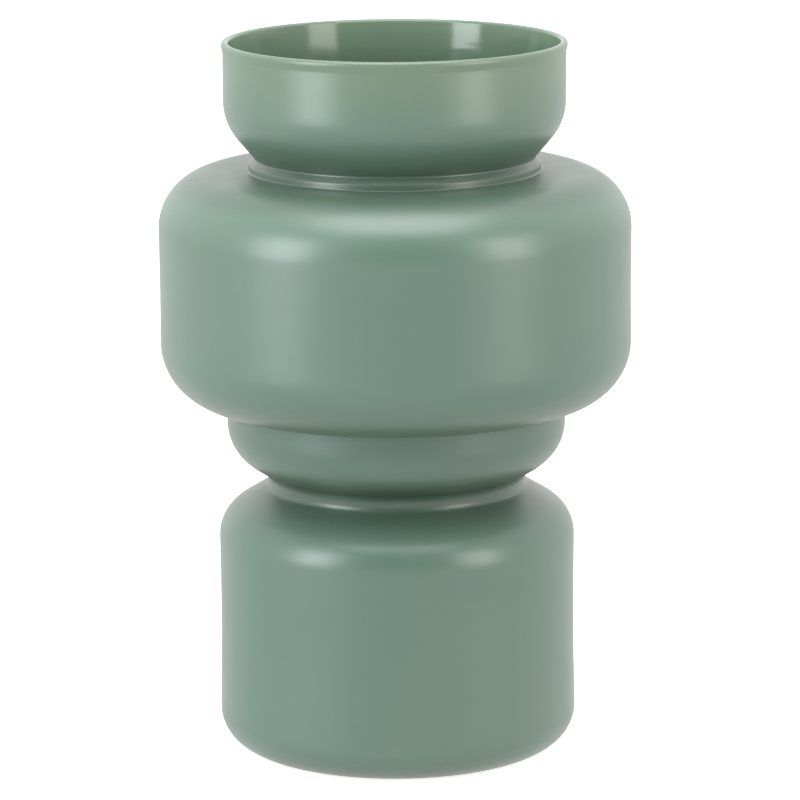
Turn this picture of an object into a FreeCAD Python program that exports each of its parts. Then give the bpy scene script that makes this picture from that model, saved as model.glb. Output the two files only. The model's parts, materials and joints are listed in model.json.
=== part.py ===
"""Stoneware vase, wheel-thrown in sections and luted together, as a parametric document.

The frame is in millimetres, +Z up, with the origin at the centre of the foot ring's resting plane.
Every piece is a solid of revolution about Z. One outline gives the outside of the clay. A second
one gives the inside and is parallel to it except at the foot, the neck's ring and the lip. Stepped joints cut the
wall into the sections that were thrown one by one. Slip fills the joints and two glaze coats cover the clay.
"""
import FreeCAD, Part
import math
import os
from collections import namedtuple

import Sketcher

DIMENSIONS = [
    # overall
    ("wall", 4.2, "thickness of the thrown clay"),
    ("coat", 0.35, "thickness of each glaze coat"),
    ("slip", 0.5, "thickness of the slip in each joint"),
    ("clear_span", 130.0, "radius that every cutting profile reaches past"),
    ("clear_top", 320.0, "height that every cutting profile reaches past"),
    ("clear_base", 6.0, "depth that every cutting profile reaches past"),
    # foot and floor
    ("foot_inside", 50.0, "inner radius of the foot ring"),
    ("foot_easing", 1.0, "rounding of the foot ring's inner edge"),
    ("foot_start", 58.0, "radius where the flat of the foot ring is still level"),
    ("drum_foot", 75.6, "drum radius, carried down to the resting plane"),
    ("drum_foot_round", 15.0, "rounding between the foot and the drum"),
    ("ledge_height", 4.0, "height of the ledge that carries the floor slab"),
    ("ledge_outside", 57.0, "outer radius of the floor slab's seat"),
    ("floor_top", 9.9, "height of the floor inside"),
    ("floor_round", 10.0, "rounding between the floor and the drum inside"),
    ("dry_line", 1.0, "height where the outer glaze stops above the foot"),
    # base drum
    ("drum_middle", 74.5, "drum radius at its slight pinch"),
    ("drum_middle_height", 50.0, "height of that pinch"),
    ("drum_middle_round", 1500.0, "radius of the pinch's hollow"),
    ("drum_top", 74.9, "drum radius where its shoulder starts"),
    ("drum_top_height", 99.1, "height where drum wall and drum shoulder would meet"),
    ("drum_top_round", 16.0, "rounding of the drum shoulder"),
    # waist and collar
    ("waist", 54.2, "radius of the waist"),
    ("waist_base_height", 111.7, "height where the drum shoulder and the waist would meet"),
    ("waist_base_round", 3.3, "hollow rounding at the foot of the waist"),
    ("waist_height", 114.6, "height of the waist joint"),
    ("waist_top_height", 117.4, "height where the waist and the collar's underside would meet"),
    ("waist_top_round", 5.0, "hollow rounding at the top of the waist"),
    ("collar", 71.0, "collar radius"),
    ("collar_height", 128.0, "height where the collar wall and its underside would meet"),
    ("collar_round", 20.0, "rounding of the collar's underside"),
    ("crease_height", 148.0, "height of the crease between collar and belly"),
    ("crease_round", 1.5, "hollow rounding of that crease"),
    # belly
    ("belly", 98.8, "belly radius at the top and bottom of its wall"),
    ("belly_base_round", 25.8, "rounding under the belly"),
    ("belly_middle", 98.4, "belly radius at its slight pinch"),
    ("belly_middle_height", 198.0, "height of that pinch"),
    ("belly_middle_round", 1500.0, "radius of the pinch's hollow"),
    ("belly_top_height", 244.65, "height where belly wall and shoulder would meet"),
    ("belly_top_round", 23.15, "rounding of the shoulder's edge"),
    ("neck", 58.3, "neck radius"),
    ("neck_foot_height", 245.7, "height where the shoulder, which rises a little, meets the neck"),
    ("neck_base_round", 4.5, "rounding between shoulder and neck inside, before the wall's thickness"),
    ("ring", 60.8, "radius of the raised ring round the foot of the neck"),
    ("ring_base_round", 1.2, "hollow rounding between shoulder and ring"),
    ("ring_height", 248.7, "height of the ring's upper edge"),
    ("ring_round", 0.9, "rounding of that edge"),
    ("neck_height", 247.6, "height of the neck joint"),
    ("neck_top_height", 251.6, "height where the neck and the bowl's underside would meet"),
    ("neck_top_round", 1.2, "hollow rounding between neck and bowl"),
    # rim bowl and lip
    ("bowl", 71.05, "radius of the rim bowl"),
    ("bowl_height", 266.6, "height where bowl wall and bowl underside would meet"),
    ("bowl_round", 23.2, "rounding of the bowl's underside"),
    ("lip_start_height", 295.4, "height where the rolled lip starts"),
    ("lip_start_round", 3.0, "hollow rounding where the rolled lip starts"),
    ("lip", 71.65, "outer radius of the rolled lip"),
    ("lip_height", 298.1, "height where the rolled lip has its full radius"),
    ("lip_swell_round", 1.2, "rounding of the lip's swell"),
    ("lip_round", 1.05, "rounding of the lip's two edges"),
    ("lip_inside", 69.35, "inner radius of the lip"),
    ("taper_height", 279.0, "height where the bowl's wall starts to thin towards the lip"),
    ("taper_round", 30.0, "hollow rounding where it starts to thin"),
    ("crown", 70.45, "radius of the lip's crown, where the two glaze coats meet"),
    ("crown_height", 299.65, "height of the clay at the lip's crown"),
    # stepped joints: the radius of the step and the height of the joint on either side of it
    ("waist_step", 52.1, "radius of the step in the waist joint"),
    ("waist_step_height", 117.1, "height of the waist joint inside its step"),
    ("crease_step", 68.9, "radius of the step in the joint under the belly"),
    ("crease_step_height", 145.2, "height of that joint inside its step"),
    ("neck_step", 56.4, "radius of the step in the neck joint"),
    ("neck_step_height", 250.45, "height of the neck joint inside its step"),
]

# corners of the outer chain that have one opposite them inside, from the drum's pinch to the bowl
EVEN_WALL = slice(2, -3)
# the outer chain's corner where the shoulder meets the neck
NECK_FOOT = 11

Corner = namedtuple("Corner", "radius height round")


class Size:
    """A number together with the spreadsheet expression that it comes from."""

    def __init__(self, value, text):
        self.value = value
        self.text = text

    def __add__(self, other):
        return Size(self.value + other.value, f"{self.text} + {other.text}")

    def __sub__(self, other):
        return Size(self.value - other.value, f"{self.text} - ({other.text})")

    def __mul__(self, factor):
        return Size(self.value * factor, f"({self.text}) * {factor:.9f}")


ZERO = Size(0.0, "0")


def make_sheet(doc):
    """Write the driving dimensions to the spreadsheet and return them as sizes by name."""
    sheet = doc.addObject("Spreadsheet::Sheet", "dims")
    sizes = {}
    for row, (alias, value, note) in enumerate(DIMENSIONS, start=1):
        sheet.set(f"A{row}", note)
        sheet.set(f"B{row}", str(value))
        sheet.setAlias(f"B{row}", alias)
        sizes[alias] = Size(value, f"dims.{alias}")
    doc.recompute()
    return sizes


# ---- outlines ----------------------------------------------------------------------------------


def direction(start, end):
    """Unit vector from one corner to the next."""
    dr = end.radius.value - start.radius.value
    dz = end.height.value - start.height.value
    length = math.hypot(dr, dz)
    return dr / length, dz / length


def turn(before, after):
    """Positive where a path with these two directions turns left."""
    return before[0] * after[1] - before[1] * after[0]


def parallel(chain, distance, side):
    """The chain shifted sideways by a distance, to its right for side 1 and its left for side -1."""
    headings = [direction(a, b) for a, b in zip(chain, chain[1:])]
    shifted = []
    for i, corner in enumerate(chain):
        before = headings[max(i - 1, 0)]
        after = headings[min(i, len(headings) - 1)]
        shared = 1.0 + before[0] * after[0] + before[1] * after[1]
        move_r = side * (before[1] + after[1]) / shared
        move_z = -side * (before[0] + after[0]) / shared
        rounding = corner.round
        if rounding is not ZERO:
            bend = side if turn(before, after) > 0 else -side
            rounding = rounding + distance * bend
        radius = corner.radius
        if radius is not ZERO:
            radius = radius + distance * move_r
        shifted.append(Corner(radius, corner.height + distance * move_z, rounding))
    return shifted


def outer_chain(dim):
    """Outside of the clay from the foot ring to the lip's outer edge, with a plain neck."""
    return [
        Corner(dim["foot_inside"], ZERO, dim["foot_easing"]),
        Corner(dim["drum_foot"], ZERO, dim["drum_foot_round"]),
        Corner(dim["drum_middle"], dim["drum_middle_height"], dim["drum_middle_round"]),
        Corner(dim["drum_top"], dim["drum_top_height"], dim["drum_top_round"]),
        Corner(dim["waist"], dim["waist_base_height"], dim["waist_base_round"]),
        Corner(dim["waist"], dim["waist_top_height"], dim["waist_top_round"]),
        Corner(dim["collar"], dim["collar_height"], dim["collar_round"]),
        Corner(dim["collar"], dim["crease_height"], dim["crease_round"]),
        Corner(dim["belly"], dim["crease_height"], dim["belly_base_round"]),
        Corner(dim["belly_middle"], dim["belly_middle_height"], dim["belly_middle_round"]),
        Corner(dim["belly"], dim["belly_top_height"], dim["belly_top_round"]),
        Corner(dim["neck"], dim["neck_foot_height"], dim["neck_base_round"]),
        Corner(dim["neck"], dim["neck_top_height"], dim["neck_top_round"]),
        Corner(dim["bowl"], dim["bowl_height"], dim["bowl_round"]),
        Corner(dim["bowl"], dim["lip_start_height"], dim["lip_start_round"]),
        Corner(dim["lip"], dim["lip_height"], dim["lip_swell_round"]),
        Corner(dim["lip"], dim["crown_height"], dim["lip_round"]),
    ]


def ringed_chain(dim):
    """The outer chain with the raised ring round the foot of the neck."""
    chain = outer_chain(dim)
    ring = [
        Corner(dim["ring"], dim["neck_foot_height"], dim["ring_base_round"]),
        Corner(dim["ring"], dim["ring_height"], dim["ring_round"]),
    ]
    return chain[:NECK_FOOT] + ring + chain[NECK_FOOT + 1:]


def inner_chain(dim):
    """Inside of the clay from the lip's inner edge down to the floor beside the slab."""
    inside = parallel(outer_chain(dim), dim["wall"], -1)[EVEN_WALL]
    lip = [
        Corner(dim["lip_inside"], dim["crown_height"], dim["lip_round"]),
        Corner(inside[-1].radius, dim["taper_height"], dim["taper_round"]),
    ]
    floor = [
        Corner(dim["drum_foot"] - dim["wall"], dim["floor_top"], dim["floor_round"]),
        Corner(dim["ledge_outside"], dim["floor_top"], ZERO),
    ]
    return lip + inside[::-1] + floor


def wall_profile(dim):
    """Closed profile of the whole clay wall, with the seat for the floor slab."""
    seat = [
        Corner(dim["ledge_outside"], dim["ledge_height"], ZERO),
        Corner(dim["foot_inside"], dim["ledge_height"], ZERO),
    ]
    return ringed_chain(dim) + inner_chain(dim) + seat


def coat_profile(chain, dim):
    """Closed profile of a glaze coat that lies on the right-hand side of a chain."""
    return chain + parallel(chain, dim["coat"], 1)[::-1]


def box_profile(inner, outer, low, high):
    """Closed rectangular profile of a ring or, with no inner radius, of a disc."""
    return [
        Corner(inner, low, ZERO),
        Corner(outer, low, ZERO),
        Corner(outer, high, ZERO),
        Corner(inner, high, ZERO),
    ]


# ---- sketches and features ---------------------------------------------------------------------


def rounded_path(corners):
    """For each corner of a closed path: where its rounding starts, ends and has its centre."""
    points = []
    count = len(corners)
    for i, corner in enumerate(corners):
        here = (corner.radius.value, corner.height.value)
        if corner.round is ZERO:
            points.append((here, here, None))
            continue
        before = direction(corners[i - 1], corner)
        after = direction(corner, corners[(i + 1) % count])
        bend = turn(before, after)
        half_angle = 0.5 * math.atan2(abs(bend), before[0] * after[0] + before[1] * after[1])
        reach = corner.round.value * math.tan(half_angle)
        start = (here[0] - before[0] * reach, here[1] - before[1] * reach)
        end = (here[0] + after[0] * reach, here[1] + after[1] * reach)
        side = math.copysign(corner.round.value, bend)
        centre = (start[0] - before[1] * side, start[1] + before[0] * side)
        points.append((start, end, centre))
    return points


def vector(point):
    return FreeCAD.Vector(point[0], point[1], 0)


def bind(sketch, kind, references, size):
    """Add a dimensional constraint and drive it from the spreadsheet."""
    index = sketch.addConstraint(Sketcher.Constraint(kind, *references, size.value))
    sketch.setExpression(f"Constraints[{index}]", size.text)


def place_point(sketch, geometry, vertex, corner):
    """Fix a point of the sketch at a corner's radius and height."""
    if corner.radius is ZERO:
        sketch.addConstraint(Sketcher.Constraint("PointOnObject", geometry, vertex, -2))
    else:
        bind(sketch, "DistanceX", (-1, 1, geometry, vertex), corner.radius)
    if corner.height is ZERO:
        sketch.addConstraint(Sketcher.Constraint("PointOnObject", geometry, vertex, -1))
    elif corner.height.value < 0:
        bind(sketch, "DistanceY", (geometry, vertex, -1, 1), ZERO - corner.height)
    else:
        bind(sketch, "DistanceY", (-1, 1, geometry, vertex), corner.height)


def draw_path(sketch, corners):
    """Draw a closed path of lines with rounded corners, fully driven by the spreadsheet."""
    points = rounded_path(corners)
    count = len(corners)
    lines = []
    for i in range(count):
        start = points[i][1]
        end = points[(i + 1) % count][0]
        lines.append(sketch.addGeometry(Part.LineSegment(vector(start), vector(end)), False))
    for i, corner in enumerate(corners):
        arriving = lines[i - 1]
        leaving = lines[i]
        if corner.round is ZERO:
            sketch.addConstraint(Sketcher.Constraint("Coincident", arriving, 2, leaving, 1))
            place_point(sketch, leaving, 1, corner)
            continue
        draw_rounding(sketch, arriving, leaving, points[i], corner)


def draw_rounding(sketch, arriving, leaving, point, corner):
    """Draw the arc of a rounded corner between the line that arrives and the one that leaves."""
    start, end, centre = point
    angle_start = math.atan2(start[1] - centre[1], start[0] - centre[0])
    angle_end = math.atan2(end[1] - centre[1], end[0] - centre[0])
    sweep = (angle_end - angle_start + math.pi) % (2 * math.pi) - math.pi
    first, last = (1, 2) if sweep > 0 else (2, 1)
    low, high = (angle_start, angle_end) if sweep > 0 else (angle_end, angle_start)
    circle = Part.Circle(vector(centre), FreeCAD.Vector(0, 0, 1), corner.round.value)
    arc = sketch.addGeometry(Part.ArcOfCircle(circle, low, high), False)
    sketch.addConstraint(Sketcher.Constraint("Tangent", arriving, 2, arc, first))
    sketch.addConstraint(Sketcher.Constraint("Tangent", arc, last, leaving, 1))
    bind(sketch, "Radius", (arc,), corner.round)
    tip = sketch.addGeometry(Part.Point(vector((corner.radius.value, corner.height.value))), True)
    sketch.addConstraint(Sketcher.Constraint("PointOnObject", tip, 1, arriving))
    sketch.addConstraint(Sketcher.Constraint("PointOnObject", tip, 1, leaving))
    place_point(sketch, tip, 1, corner)


def lathe(body, kind, name, corners):
    """Add a Revolution or a Groove of a closed path about Z to a body."""
    sketch = body.newObject("Sketcher::SketchObject", f"{name}_sketch")
    plane = next(p for p in body.Origin.OriginFeatures if p.Role == "XZ_Plane")
    sketch.AttachmentSupport = [(plane, "")]
    sketch.MapMode = "FlatFace"
    draw_path(sketch, corners)
    feature = body.newObject(f"PartDesign::{kind}", name)
    feature.Profile = sketch
    feature.ReferenceAxis = (sketch, ["V_Axis"])
    feature.Angle = 360.0
    body.Document.recompute()
    return feature


def make_body(doc, label):
    body = doc.addObject("PartDesign::Body", label)
    body.Label = label
    body.Placement = FreeCAD.Placement()
    return body


# ---- joints between the sections ---------------------------------------------------------------


def joint_line(dim, name, outer_height, shifted):
    """Stepped line of a joint from the axis outwards, on its lower or its upper (shifted) face."""
    step = dim[f"{name}_step"]
    inner_height = dim[f"{name}_step_height"]
    rises = inner_height.value > outer_height.value
    if shifted:
        step = step + dim["slip"] if rises else step - dim["slip"]
        inner_height = inner_height + dim["slip"]
        outer_height = outer_height + dim["slip"]
    return [
        Corner(ZERO, inner_height, ZERO),
        Corner(step, inner_height, ZERO),
        Corner(step, outer_height, ZERO),
        Corner(dim["clear_span"], outer_height, ZERO),
    ]


def cut_above(body, dim, name, line):
    """Remove everything above a joint's line."""
    top = [Corner(dim["clear_span"], dim["clear_top"], ZERO), Corner(ZERO, dim["clear_top"], ZERO)]
    lathe(body, "Groove", f"{name}_trimmed_above", line + top)


def cut_below(body, dim, name, line):
    """Remove everything below a joint's line."""
    depth = ZERO - dim["clear_base"]
    base = [Corner(dim["clear_span"], depth, ZERO), Corner(ZERO, depth, ZERO)]
    lathe(body, "Groove", f"{name}_trimmed_below", line + base)


def wall_piece(doc, dim, label, below, above):
    """The stretch of the clay wall between two joint lines; None leaves that end whole."""
    body = make_body(doc, label)
    lathe(body, "Revolution", f"{label}_wall", wall_profile(dim))
    if below is not None:
        cut_below(body, dim, label, below)
    if above is not None:
        cut_above(body, dim, label, above)
    return body


def make_sections(doc, dim):
    """The thrown sections, and the slip in the joints between them."""
    heights = [("waist", dim["waist_height"]), ("crease", dim["crease_height"]),
               ("neck", dim["neck_height"])]
    lower = {name: joint_line(dim, name, height, False) for name, height in heights}
    upper = {name: joint_line(dim, name, height, True) for name, height in heights}
    sections = [("base_drum", None, lower["waist"]),
                ("waist_collar", upper["waist"], lower["crease"]),
                ("belly", upper["crease"], lower["neck"]),
                ("rim_bowl", upper["neck"], None)]
    pieces = [wall_piece(doc, dim, label, below, above) for label, below, above in sections]
    for name, _ in heights:
        pieces.append(wall_piece(doc, dim, f"{name}_slip", lower[name], upper[name]))
    return pieces


# ---- floor and glaze ---------------------------------------------------------------------------


def make_floor(doc, dim):
    """The floor slab in the drum's seat, and the slip that beds it."""
    slab_edge = dim["ledge_outside"] - dim["slip"]
    slab_base = dim["ledge_height"] + dim["slip"]
    slab = make_body(doc, "floor_slab")
    lathe(slab, "Revolution", "floor_slab_disc",
          box_profile(ZERO, slab_edge, slab_base, dim["floor_top"]))
    bed = make_body(doc, "floor_slip")
    lathe(bed, "Revolution", "floor_slip_bed",
          box_profile(dim["foot_inside"], dim["ledge_outside"], dim["ledge_height"],
                      dim["floor_top"]))
    lathe(bed, "Groove", "floor_slip_hollow",
          box_profile(ZERO, slab_edge, slab_base, dim["clear_top"]))
    return [slab, bed]


def make_outer_glaze(doc, dim):
    """The coat on the outside, from the dry line above the foot to the lip's crown."""
    start = Corner(dim["foot_start"], ZERO, ZERO)
    crown = Corner(dim["crown"], dim["crown_height"], ZERO)
    chain = [start] + ringed_chain(dim)[1:] + [crown]
    body = make_body(doc, "outer_glaze")
    lathe(body, "Revolution", "outer_glaze_coat", coat_profile(chain, dim))
    dry_edge = [Corner(ZERO, dim["dry_line"], ZERO), Corner(dim["clear_span"], dim["dry_line"], ZERO)]
    cut_below(body, dim, "outer_glaze", dry_edge)
    return body


def make_inner_glaze(doc, dim):
    """The coat on the inside, from the lip's crown down and across the floor."""
    crown = Corner(dim["crown"], dim["crown_height"], ZERO)
    middle = Corner(ZERO, dim["floor_top"], ZERO)
    chain = [crown] + inner_chain(dim)[:-1] + [middle]
    body = make_body(doc, "inner_glaze")
    lathe(body, "Revolution", "inner_glaze_coat", coat_profile(chain, dim))
    return body


# ---- checks and export -------------------------------------------------------------------------


def check_document(doc, pieces):
    """Stop if any object failed or any piece isn't one valid solid."""
    for item in doc.Objects:
        if "Invalid" in item.State or "Error" in item.State:
            raise RuntimeError(f"{item.Label} failed: {item.State}")
    for piece in pieces:
        shape = piece.Shape
        if shape.isNull() or not shape.isValid() or len(shape.Solids) != 1:
            raise RuntimeError(f"{piece.Label} isn't one valid solid")


def main():
    doc = FreeCAD.newDocument("stoneware_vase")
    dim = make_sheet(doc)
    pieces = make_sections(doc, dim) + make_floor(doc, dim)
    pieces += [make_outer_glaze(doc, dim), make_inner_glaze(doc, dim)]
    doc.recompute()
    check_document(doc, pieces)
    os.makedirs("parts", exist_ok=True)
    for piece in pieces:
        piece.Shape.exportStep(f"parts/{piece.Label}.step")
    return doc


main()
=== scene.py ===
"""Looks of the stoneware vase: its glaze coats, clay and slip, the studio round it and the camera.

Everything is in metres in the frame of the CAD model, with the vase's axis on Z and its foot at
height 0. The two glaze coats are turned afresh from the section of the CAD coats, finely enough
for smooth reflections. The clay and the slip keep their CAD meshes and get better materials.
"""
import json
import math

import bpy
import numpy as np
from mathutils import Matrix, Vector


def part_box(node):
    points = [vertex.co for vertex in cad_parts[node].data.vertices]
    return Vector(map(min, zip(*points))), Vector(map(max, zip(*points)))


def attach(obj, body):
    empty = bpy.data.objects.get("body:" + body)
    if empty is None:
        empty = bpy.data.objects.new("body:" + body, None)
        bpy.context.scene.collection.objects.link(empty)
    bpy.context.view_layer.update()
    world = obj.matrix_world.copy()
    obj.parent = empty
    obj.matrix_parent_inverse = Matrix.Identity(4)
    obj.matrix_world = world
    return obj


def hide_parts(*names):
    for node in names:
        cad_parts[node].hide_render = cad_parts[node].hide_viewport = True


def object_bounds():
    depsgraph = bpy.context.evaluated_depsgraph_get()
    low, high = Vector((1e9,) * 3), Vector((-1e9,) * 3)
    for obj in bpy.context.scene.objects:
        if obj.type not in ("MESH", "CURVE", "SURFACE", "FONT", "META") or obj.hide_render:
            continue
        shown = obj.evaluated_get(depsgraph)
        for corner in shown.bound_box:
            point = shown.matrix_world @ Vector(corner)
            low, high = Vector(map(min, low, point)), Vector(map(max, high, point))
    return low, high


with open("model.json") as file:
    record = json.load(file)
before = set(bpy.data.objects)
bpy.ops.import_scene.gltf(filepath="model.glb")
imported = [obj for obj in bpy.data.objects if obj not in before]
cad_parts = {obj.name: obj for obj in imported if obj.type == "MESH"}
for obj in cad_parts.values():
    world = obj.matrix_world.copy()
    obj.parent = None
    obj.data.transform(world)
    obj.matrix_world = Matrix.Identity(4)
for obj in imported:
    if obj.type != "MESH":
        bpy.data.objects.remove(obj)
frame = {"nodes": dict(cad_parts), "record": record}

CAD_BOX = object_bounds()
RIM_TOP = CAD_BOX[1].z

# ---- sizes, in metres and degrees ----------------------------------------------------------------

CUT_TOLERANCE = 2e-6  # how near to the section plane a vertex counts as on it
SHARP_TURN = math.radians(20)  # an outline that turns by more than this has a real corner there
FINEST_TURN = math.radians(4.5)  # the most that the outline turns from one ring to the next
LONGEST_STEP = 0.003  # the most between two rings of a turned mesh
SEGMENTS = 144  # faces round a turned mesh
UNEVEN = 0.00006  # how far hand and wheel leave the coat from a true circle

SATIN_RIM_LIGHT = 0.035  # how far below the rim the painted light on the outer glaze starts
INSIDE_RIM_LIGHT_PEAK = 0.002  # how far below the rim the painted light inside is at its brightest
INSIDE_RIM_LIGHT_START = 0.007  # how far below it the painted light inside starts
INSIDE_SHADE_START = 0.006  # how far below it the painted shade inside starts
INSIDE_SHADE_END = 0.020  # how far below it the painted shade inside is at its darkest
JOINT_POOL_AND_SHADE = 0.012  # how far from a joint the glaze gathers and the painted shade reaches
COLLAR_SHADE = 0.020  # how far the painted shade reaches above and below the middle of the collar
FOOT_SHADOW = 0.0035  # how far above the floor the painted contact shadow reaches
POOL_AND_SHADE_CORE = 0.3  # the share of that distance over which it is at its darkest
# dark green of gathered glaze, also used for painted shade
POOLED_AND_SHADED_GREEN = (0.040, 0.068, 0.042)

CAMERA_DISTANCE = 1.750
CAMERA_SIDE = 0.0016
CAMERA_HEIGHT = 0.5242
CAMERA_PITCH = math.radians(12.158)
CAMERA_ROLL = math.radians(-0.31)
CAMERA_LENS = 190.8  # millimetres, on Blender's 36 mm sensor

FLOOR_RADIUS = 12.0
FLOOR_GLOW = 0.7
ROOM_LIGHT = 0.08
BACKDROP_LIGHT = 1.1
FLOOR_BOUNCE = 0.95
ROOM_TO_BACKDROP = (-0.75, 0.25)  # the part of a direction along Y over which one turns to the other
BOUNCE_TO_ROOM = (-0.12, 0.02)  # the part along Z over which the floor's bounce ends
COOL_WHITE = (0.96, 1.0, 1.03)
WARM_WHITE = (1.04, 1.0, 0.94)

# ---- turned meshes -------------------------------------------------------------------------------


def cut_neighbours(node):
    """The edges of a turned CAD node that lie on its section plane, as a point's neighbours."""
    mesh = frame["nodes"][node].data
    points = [(round(v.co.x, 7), round(v.co.z, 7)) for v in mesh.vertices]
    on_cut = [abs(v.co.y) < CUT_TOLERANCE and v.co.x > 0 for v in mesh.vertices]
    neighbours = {}
    for edge in mesh.edges:
        a, b = edge.vertices
        if on_cut[a] and on_cut[b] and points[a] != points[b]:
            neighbours.setdefault(points[a], set()).add(points[b])
            neighbours.setdefault(points[b], set()).add(points[a])
    return neighbours


def section(node):
    """Closed outline of a turned CAD node: radius and height of its points, in order."""
    neighbours = cut_neighbours(node)
    ends = [p for p, others in neighbours.items() if len(others) == 1]
    here = min(ends or neighbours, key=lambda p: (p[1], p[0]))
    walked = [here]
    while True:
        onward = sorted(p for p in neighbours[here] if p not in walked[-2:])
        if not onward or onward[0] == walked[0]:
            break
        here = onward[0]
        walked.append(here)
    if ends:
        walked = [(0.0, walked[0][1])] + walked + [(0.0, walked[-1][1])]
    return np.array(walked)


def chord_bends(lengths, turns):
    """How far the arc under each chord of an outline bends, from the turns between the chords.

    Two arcs that meet smoothly each give half their bend to the turn at the point between them.
    That alone leaves a choice, and the evenest curvature settles it.
    """
    count = len(lengths)
    evenness = 1e-3
    rows, targets = [], []
    for i in range(count):
        if abs(turns[i]) > SHARP_TURN:
            continue
        share = np.zeros(count)
        share[[i - 1, i]] = 0.5
        rows.append(share)
        targets.append(turns[i])
        step = min(lengths[i - 1], lengths[i])
        even = np.zeros(count)
        even[i - 1] = evenness * step / lengths[i - 1]
        even[i] = -evenness * step / lengths[i]
        rows.append(even)
        targets.append(0.0)
    return np.linalg.lstsq(np.array(rows), np.array(targets), rcond=None)[0]


def rounded(outline):
    """The outline with more points, on the arcs that the chords of its round stretches stand for."""
    steps = np.roll(outline, -1, axis=0) - outline
    lengths = np.hypot(steps[:, 0], steps[:, 1])
    headings = np.arctan2(steps[:, 1], steps[:, 0])
    turns = (headings - np.roll(headings, 1) + np.pi) % (2 * np.pi) - np.pi
    bends = chord_bends(lengths, turns)
    points = []
    for start, step, length, bend in zip(outline, steps, lengths, bends):
        on_axis = start[0] + abs(step[0]) < CUT_TOLERANCE
        fine = max(abs(bend) / FINEST_TURN, length / LONGEST_STEP)
        parts = 1 if on_axis else math.ceil(fine)
        bulge = 2 * length * math.tan(bend / 4)
        outward = np.array([step[1], -step[0]]) / length
        for along in np.arange(parts) / parts:
            points.append(start + step * along + outward * bulge * along * (1 - along))
    return np.array(points)


def uneven(angle, height):
    """Radial error of the thrown form at an angle and height, between about -2 and 2 UNEVEN."""
    oval = np.cos(2 * angle + 14 * height)
    lean = 0.6 * np.cos(angle - 1.1 + 21 * height)
    swell = 0.4 * np.cos(3 * angle + 37 * height) + 0.3 * np.sin(5 * angle - 61 * height)
    return UNEVEN * (oval + lean + swell)


def turned(name, outline):
    """A closed mesh turned from an outline about the axis, with one vertex for a point on it."""
    angles = np.arange(SEGMENTS) * 2 * math.pi / SEGMENTS
    vertices, rings = [], []
    for radius, height in outline:
        first = len(vertices)
        if radius < CUT_TOLERANCE:
            vertices.append((0.0, 0.0, height))
            rings.append([first] * SEGMENTS)
            continue
        for angle in angles:
            out = radius + uneven(angle, height)
            vertices.append((out * math.cos(angle), out * math.sin(angle), height))
        rings.append(list(range(first, first + SEGMENTS)))
    faces = []
    for i, ring in enumerate(rings):
        onward = rings[(i + 1) % len(rings)]
        for j in range(SEGMENTS):
            k = (j + 1) % SEGMENTS
            corners = dict.fromkeys((ring[j], ring[k], onward[k], onward[j]))
            if len(corners) > 2:
                faces.append(tuple(corners))
    mesh = bpy.data.meshes.new(name)
    mesh.from_pydata(vertices, [], faces)
    mesh.validate()
    piece = bpy.data.objects.new(name, mesh)
    bpy.context.scene.collection.objects.link(piece)
    smooth_outwards(piece)
    return piece


def smooth_outwards(piece):
    """Point every face out of the solid and shade smoothly, except across its real corners."""
    bpy.ops.object.select_all(action="DESELECT")
    piece.select_set(True)
    bpy.context.view_layer.objects.active = piece
    bpy.ops.object.mode_set(mode="EDIT")
    bpy.ops.mesh.select_all(action="SELECT")
    bpy.ops.mesh.normals_make_consistent(inside=False)
    bpy.ops.object.mode_set(mode="OBJECT")
    piece.data.shade_smooth()
    piece.data.set_sharp_from_angle(angle=2 * SHARP_TURN)


# ---- material nodes ------------------------------------------------------------------------------


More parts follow.
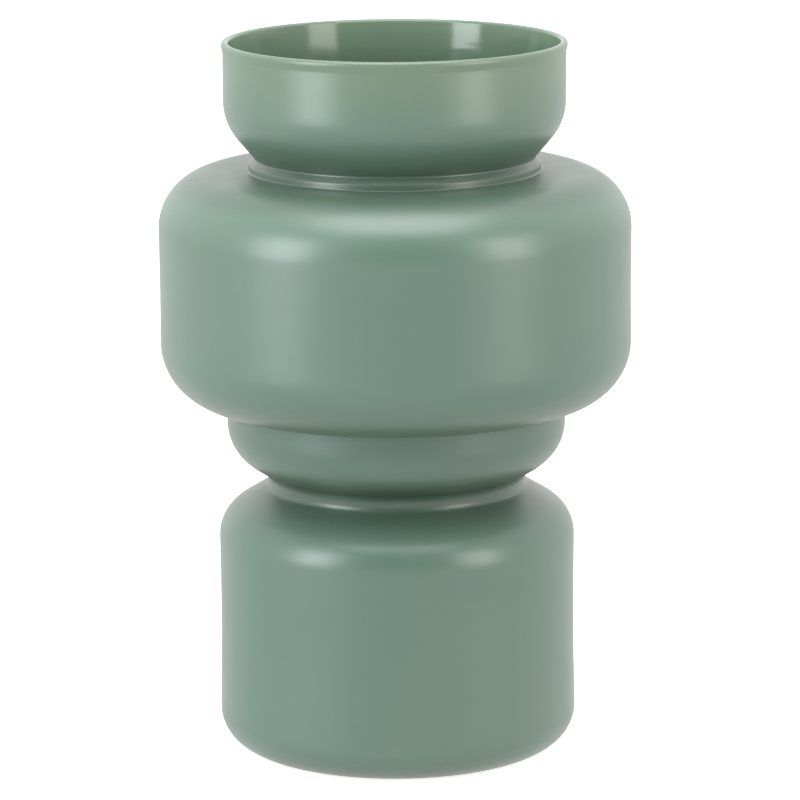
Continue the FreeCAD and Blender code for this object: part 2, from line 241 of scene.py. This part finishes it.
class Graph:
    """The node tree of a new material, with a Principled shader at its end."""

    def __init__(self, name):
        self.material = bpy.data.materials.new(name)
        self.material.use_nodes = True
        self.tree = self.material.node_tree
        self.tree.nodes.clear()
        self.shader = self.add("ShaderNodeBsdfPrincipled")
        output = self.add("ShaderNodeOutputMaterial")
        self.join(self.shader.outputs["BSDF"], output.inputs["Surface"])
        self.place = self.add("ShaderNodeTexCoord").outputs["Object"]

    def add(self, kind, **settings):
        node = self.tree.nodes.new(kind)
        for key, value in settings.items():
            setattr(node, key, value)
        return node

    def join(self, source, target):
        self.tree.links.new(source, target)

    def noise(self, per_metre, detail=3.0, roughness=0.5, stretch=(1.0, 1.0, 1.0)):
        """Noise from 0 to 1 with about this many features to a metre."""
        scaled = self.add("ShaderNodeMapping")
        scaled.inputs["Scale"].default_value = stretch
        self.join(self.place, scaled.inputs["Vector"])
        node = self.add("ShaderNodeTexNoise")
        node.inputs["Scale"].default_value = per_metre
        node.inputs["Detail"].default_value = detail
        node.inputs["Roughness"].default_value = roughness
        self.join(scaled.outputs["Vector"], node.inputs["Vector"])
        return node.outputs["Fac"]

    def fit(self, value, low, high, to_low, to_high):
        """The value mapped from one range to another and held inside it."""
        node = self.add("ShaderNodeMapRange", interpolation_type="SMOOTHSTEP")
        node.inputs["From Min"].default_value = low
        node.inputs["From Max"].default_value = high
        node.inputs["To Min"].default_value = to_low
        node.inputs["To Max"].default_value = to_high
        self.join(value, node.inputs["Value"])
        return node.outputs["Result"]

    def mix(self, share, first, second, blend="MIX"):
        """Two colours mixed. Each is a socket or three numbers."""
        node = self.add("ShaderNodeMix", data_type="RGBA", blend_type=blend)
        self.join(share, node.inputs["Factor"])
        for key, colour in (("A", first), ("B", second)):
            socket = next(s for s in node.inputs if s.name == key and s.type == "RGBA")
            if isinstance(colour, tuple):
                socket.default_value = (*colour, 1.0)
            else:
                self.join(colour, socket)
        return next(s for s in node.outputs if s.type == "RGBA")

    def height(self):
        """Height in the frame, in metres."""
        parts = self.add("ShaderNodeSeparateXYZ")
        self.join(self.place, parts.inputs["Vector"])
        return parts.outputs["Z"]

    def near(self, height, reach, most):
        """A share that is at its most near a height and falls to 0 at this reach above and below it."""
        gap = self.add("ShaderNodeMath", operation="SUBTRACT")
        self.join(self.height(), gap.inputs[0])
        gap.inputs[1].default_value = height
        size = self.add("ShaderNodeMath", operation="ABSOLUTE")
        self.join(gap.outputs["Value"], size.inputs[0])
        return self.fit(size.outputs["Value"], POOL_AND_SHADE_CORE * reach, reach, most, 0)

    def facing(self, axis):
        """How far the surface faces along an axis of the frame, from -1 to 1."""
        normal = self.add("ShaderNodeNewGeometry").outputs["Normal"]
        parts = self.add("ShaderNodeSeparateXYZ")
        self.join(normal, parts.inputs["Vector"])
        return parts.outputs[axis]

    def bump(self, height, depth, before=None):
        """A bump of this depth in metres, laid over one made before."""
        node = self.add("ShaderNodeBump")
        node.inputs["Distance"].default_value = depth
        self.join(height, node.inputs["Height"])
        if before is not None:
            self.join(before, node.inputs["Normal"])
        return node.outputs["Normal"]

    def finish(self, colour, roughness, normal, **fixed):
        """Wire the shader up and return the material."""
        self.join(colour, self.shader.inputs["Base Color"])
        self.join(roughness, self.shader.inputs["Roughness"])
        self.join(normal, self.shader.inputs["Normal"])
        for key, value in fixed.items():
            self.shader.inputs[key.replace("_", " ")].default_value = value
        return self.material


def satin_glaze():
    """Satin green glaze with fine orange peel; painted light near the rim; painted shade underneath, on
    the collar and at the foot; glaze gathered with painted shade at the joints.
    """
    graph = Graph("satin_glaze")
    drift = graph.fit(graph.noise(9, detail=2), 0.35, 0.65, 0, 1)
    colour = graph.mix(drift, (0.108, 0.194, 0.148), (0.120, 0.202, 0.150))
    # painted light: the outer glaze is made paler and yellower towards the rim
    rim_light = graph.fit(graph.height(), RIM_TOP - SATIN_RIM_LIGHT, RIM_TOP, 0, 0.8)
    colour = graph.mix(rim_light, colour, (0.160, 0.236, 0.148))
    # painted shade: surfaces that face down are made darker and olive
    underside_shade = graph.fit(graph.facing("Z"), -0.25, -0.95, 0, 0.75)
    colour = graph.mix(underside_shade, colour, (0.092, 0.150, 0.090))
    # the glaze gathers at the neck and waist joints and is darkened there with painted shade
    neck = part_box("neck_slip")[0].z
    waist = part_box("waist_slip")[0].z
    # painted shade: the middle of the collar is darkened where the belly overhangs it
    collar = (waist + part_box("crease_slip")[0].z) / 2
    pools_and_shade = ((neck, JOINT_POOL_AND_SHADE, 0.50), (waist, JOINT_POOL_AND_SHADE, 0.62), (collar, COLLAR_SHADE, 0.22))
    for height, reach, most in pools_and_shade:
        colour = graph.mix(graph.near(height, reach, most), colour, POOLED_AND_SHADED_GREEN)
    # painted shadow: the glaze is darkened just above the floor where the vase meets it
    foot = graph.fit(graph.height(), 0.0, FOOT_SHADOW, 0.7, 0)
    colour = graph.mix(foot, colour, POOLED_AND_SHADED_GREEN)
    mottle = graph.fit(graph.noise(240, detail=5), 0.3, 0.7, 0, 0.10)
    colour = graph.mix(mottle, colour, (0.090, 0.170, 0.128))
    roughness = graph.fit(graph.noise(55, detail=4), 0.3, 0.7, 0.35, 0.41)
    swell = graph.bump(graph.noise(45, detail=1), 0.00006)
    peel = graph.bump(graph.noise(900, detail=2), 0.000006, swell)
    return graph.finish(colour, roughness, peel, IOR=1.6, Coat_Weight=0.6, Coat_Roughness=0.36)


def gloss_glaze():
    """Glossy green glaze over faint throwing rings, with painted light just under the lip and painted
    shade further down.
    """
    graph = Graph("gloss_glaze")
    drift = graph.fit(graph.noise(14, detail=3), 0.35, 0.65, 0, 1)
    colour = graph.mix(drift, (0.150, 0.235, 0.165), (0.172, 0.262, 0.180))
    # painted shade: the inside is made darker further down
    inside_shade = graph.fit(graph.height(), RIM_TOP - INSIDE_SHADE_END, RIM_TOP - INSIDE_SHADE_START, 0.6, 0)
    colour = graph.mix(inside_shade, colour, (0.082, 0.135, 0.088))
    # painted light: the inner glaze is made paler just under the lip
    rim_light = graph.fit(graph.height(), RIM_TOP - INSIDE_RIM_LIGHT_START, RIM_TOP - INSIDE_RIM_LIGHT_PEAK, 0, 0.5)
    colour = graph.mix(rim_light, colour, (0.210, 0.300, 0.215))
    roughness = graph.fit(graph.noise(80, detail=3), 0.3, 0.7, 0.10, 0.16)
    rings = graph.bump(graph.noise(20, detail=2, stretch=(1, 1, 9)), 0.00008)
    peel = graph.bump(graph.noise(500, detail=2), 0.000004, rings)
    return graph.finish(colour, roughness, peel, IOR=1.5)


def stoneware():
    """Bare fired clay: grey-brown, grogged, with iron specks."""
    graph = Graph("stoneware")
    drift = graph.fit(graph.noise(30, detail=4), 0.35, 0.65, 0, 1)
    colour = graph.mix(drift, (0.150, 0.140, 0.105), (0.190, 0.175, 0.135))
    specks = graph.fit(graph.noise(1100, detail=1), 0.70, 0.76, 0, 0.8)
    colour = graph.mix(specks, colour, (0.050, 0.040, 0.030))
    roughness = graph.fit(graph.noise(300, detail=3), 0.3, 0.7, 0.82, 0.93)
    grog = graph.bump(graph.noise(1400, detail=5, roughness=0.7), 0.00012)
    return graph.finish(colour, roughness, grog)


def slip():
    """Fired slip: the same clay without grog, smoother and a shade darker."""
    graph = Graph("slip")
    drift = graph.fit(graph.noise(60, detail=3), 0.35, 0.65, 0, 1)
    colour = graph.mix(drift, (0.125, 0.115, 0.088), (0.160, 0.148, 0.115))
    roughness = graph.fit(graph.noise(400, detail=3), 0.3, 0.7, 0.75, 0.85)
    grain = graph.bump(graph.noise(2500, detail=3), 0.00004)
    return graph.finish(colour, roughness, grain)


# ---- the vase ------------------------------------------------------------------------------------


def coat(name, node, material):
    """A glaze coat that stands for a CAD coat."""
    piece = turned(name, rounded(section(node)))
    piece.data.materials.append(material)
    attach(piece, "root")
    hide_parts(node)
    return piece


def dress_clay():
    """Give the clay and the slip, which keep their CAD meshes, their materials."""
    fired = {"stoneware": stoneware(), "slip": slip()}
    for part in frame["record"]["subparts"]:
        if part["material_slot"] not in fired:
            continue
        node = frame["nodes"][part["node"]]
        node.data.materials.clear()
        node.data.materials.append(fired[part["material_slot"]])


# ---- studio --------------------------------------------------------------------------------------


def paper():
    """Near-white matte paper with a very faint tooth."""
    graph = Graph("paper")
    drift = graph.fit(graph.noise(2, detail=2), 0.35, 0.65, 0, 1)
    colour = graph.mix(drift, (0.90, 0.90, 0.90), (0.92, 0.92, 0.92))
    roughness = graph.fit(graph.noise(40), 0.3, 0.7, 0.85, 0.95)
    tooth = graph.bump(graph.noise(900), 0.00002)
    graph.shader.inputs["Emission Color"].default_value = (1, 1, 1, 1)
    return graph.finish(colour, roughness, tooth, Specular_IOR_Level=0.1, Emission_Strength=FLOOR_GLOW)


def make_floor():
    bpy.ops.mesh.primitive_circle_add(vertices=96, radius=FLOOR_RADIUS, fill_type="NGON")
    floor = bpy.context.object
    floor.name = "floor"
    # the studio's own lower half lights the vase from below, dimmer than this white floor would
    floor.visible_diffuse = False
    floor.visible_glossy = False
    floor.data.materials.append(paper())


def softbox(name, azimuth, distance, height, size, power, colour, aim=0.15):
    """A soft light. Azimuth 0 is on the camera's side, and aim is the height that it looks at."""
    light = bpy.data.lights.new(name, "AREA")
    light.shape = "RECTANGLE"
    light.size, light.size_y = size
    light.energy = power
    light.color = colour
    lamp = bpy.data.objects.new(name, light)
    bpy.context.scene.collection.objects.link(lamp)
    turn = math.radians(azimuth)
    lamp.location = (distance * math.sin(turn), -distance * math.cos(turn), height)
    back = lamp.location.copy()
    back.z -= aim
    lamp.rotation_euler = back.to_track_quat("Z", "Y").to_euler()


def make_lights():
    softbox("softbox_left", -54, 1.3, 0.50, (0.5, 0.9), 11, COOL_WHITE)
    softbox("softbox_right", 54, 1.3, 0.50, (0.5, 0.9), 7, WARM_WHITE)
    softbox("softbox_top", 0, 0.4, 1.6, (1.4, 1.1), 18, (1, 1, 1))
    make_world()
    bpy.context.scene.view_settings.view_transform = "Standard"


def ramp(tree, value, low, high):
    """A node that runs from its To Min at a low value to its To Max at a high one."""
    node = tree.nodes.new("ShaderNodeMapRange")
    node.inputs["From Min"].default_value = low
    node.inputs["From Max"].default_value = high
    tree.links.new(value, node.inputs["Value"])
    return node


def make_world():
    """A studio that is bright behind and beside the vase, dim in front, and white to look at."""
    world = bpy.data.worlds.new("studio")
    world.use_nodes = True
    tree = world.node_tree
    surround = tree.nodes["Background"]
    direction = tree.nodes.new("ShaderNodeTexCoord")
    parts = tree.nodes.new("ShaderNodeSeparateXYZ")
    tree.links.new(direction.outputs["Generated"], parts.inputs["Vector"])
    around = ramp(tree, parts.outputs["Y"], *ROOM_TO_BACKDROP)
    around.inputs["To Min"].default_value = ROOM_LIGHT
    around.inputs["To Max"].default_value = BACKDROP_LIGHT
    above = ramp(tree, parts.outputs["Z"], *BOUNCE_TO_ROOM)
    lit = tree.nodes.new("ShaderNodeMix")
    tree.links.new(above.outputs["Result"], lit.inputs["Factor"])
    lit.inputs["A"].default_value = FLOOR_BOUNCE
    tree.links.new(around.outputs["Result"], lit.inputs["B"])
    seen = tree.nodes.new("ShaderNodeLightPath")
    choice = tree.nodes.new("ShaderNodeMix")
    tree.links.new(seen.outputs["Is Camera Ray"], choice.inputs["Factor"])
    tree.links.new(lit.outputs["Result"], choice.inputs["A"])
    choice.inputs["B"].default_value = 1.0
    tree.links.new(choice.outputs["Result"], surround.inputs["Color"])
    bpy.context.scene.world = world


def make_camera():
    data = bpy.data.cameras.new("camera")
    data.lens = CAMERA_LENS
    camera = bpy.data.objects.new("camera", data)
    bpy.context.scene.collection.objects.link(camera)
    place = Matrix.Translation((CAMERA_SIDE, -CAMERA_DISTANCE, CAMERA_HEIGHT))
    tilt = Matrix.Rotation(math.pi / 2 - CAMERA_PITCH, 4, "X")
    camera.matrix_world = place @ tilt @ Matrix.Rotation(CAMERA_ROLL, 4, "Z")
    bpy.context.scene.camera = camera


make_camera()
coat("glaze_outside", "outer_glaze", satin_glaze())
coat("glaze_inside", "inner_glaze", gloss_glaze())
dress_clay()
make_floor()
make_lights()
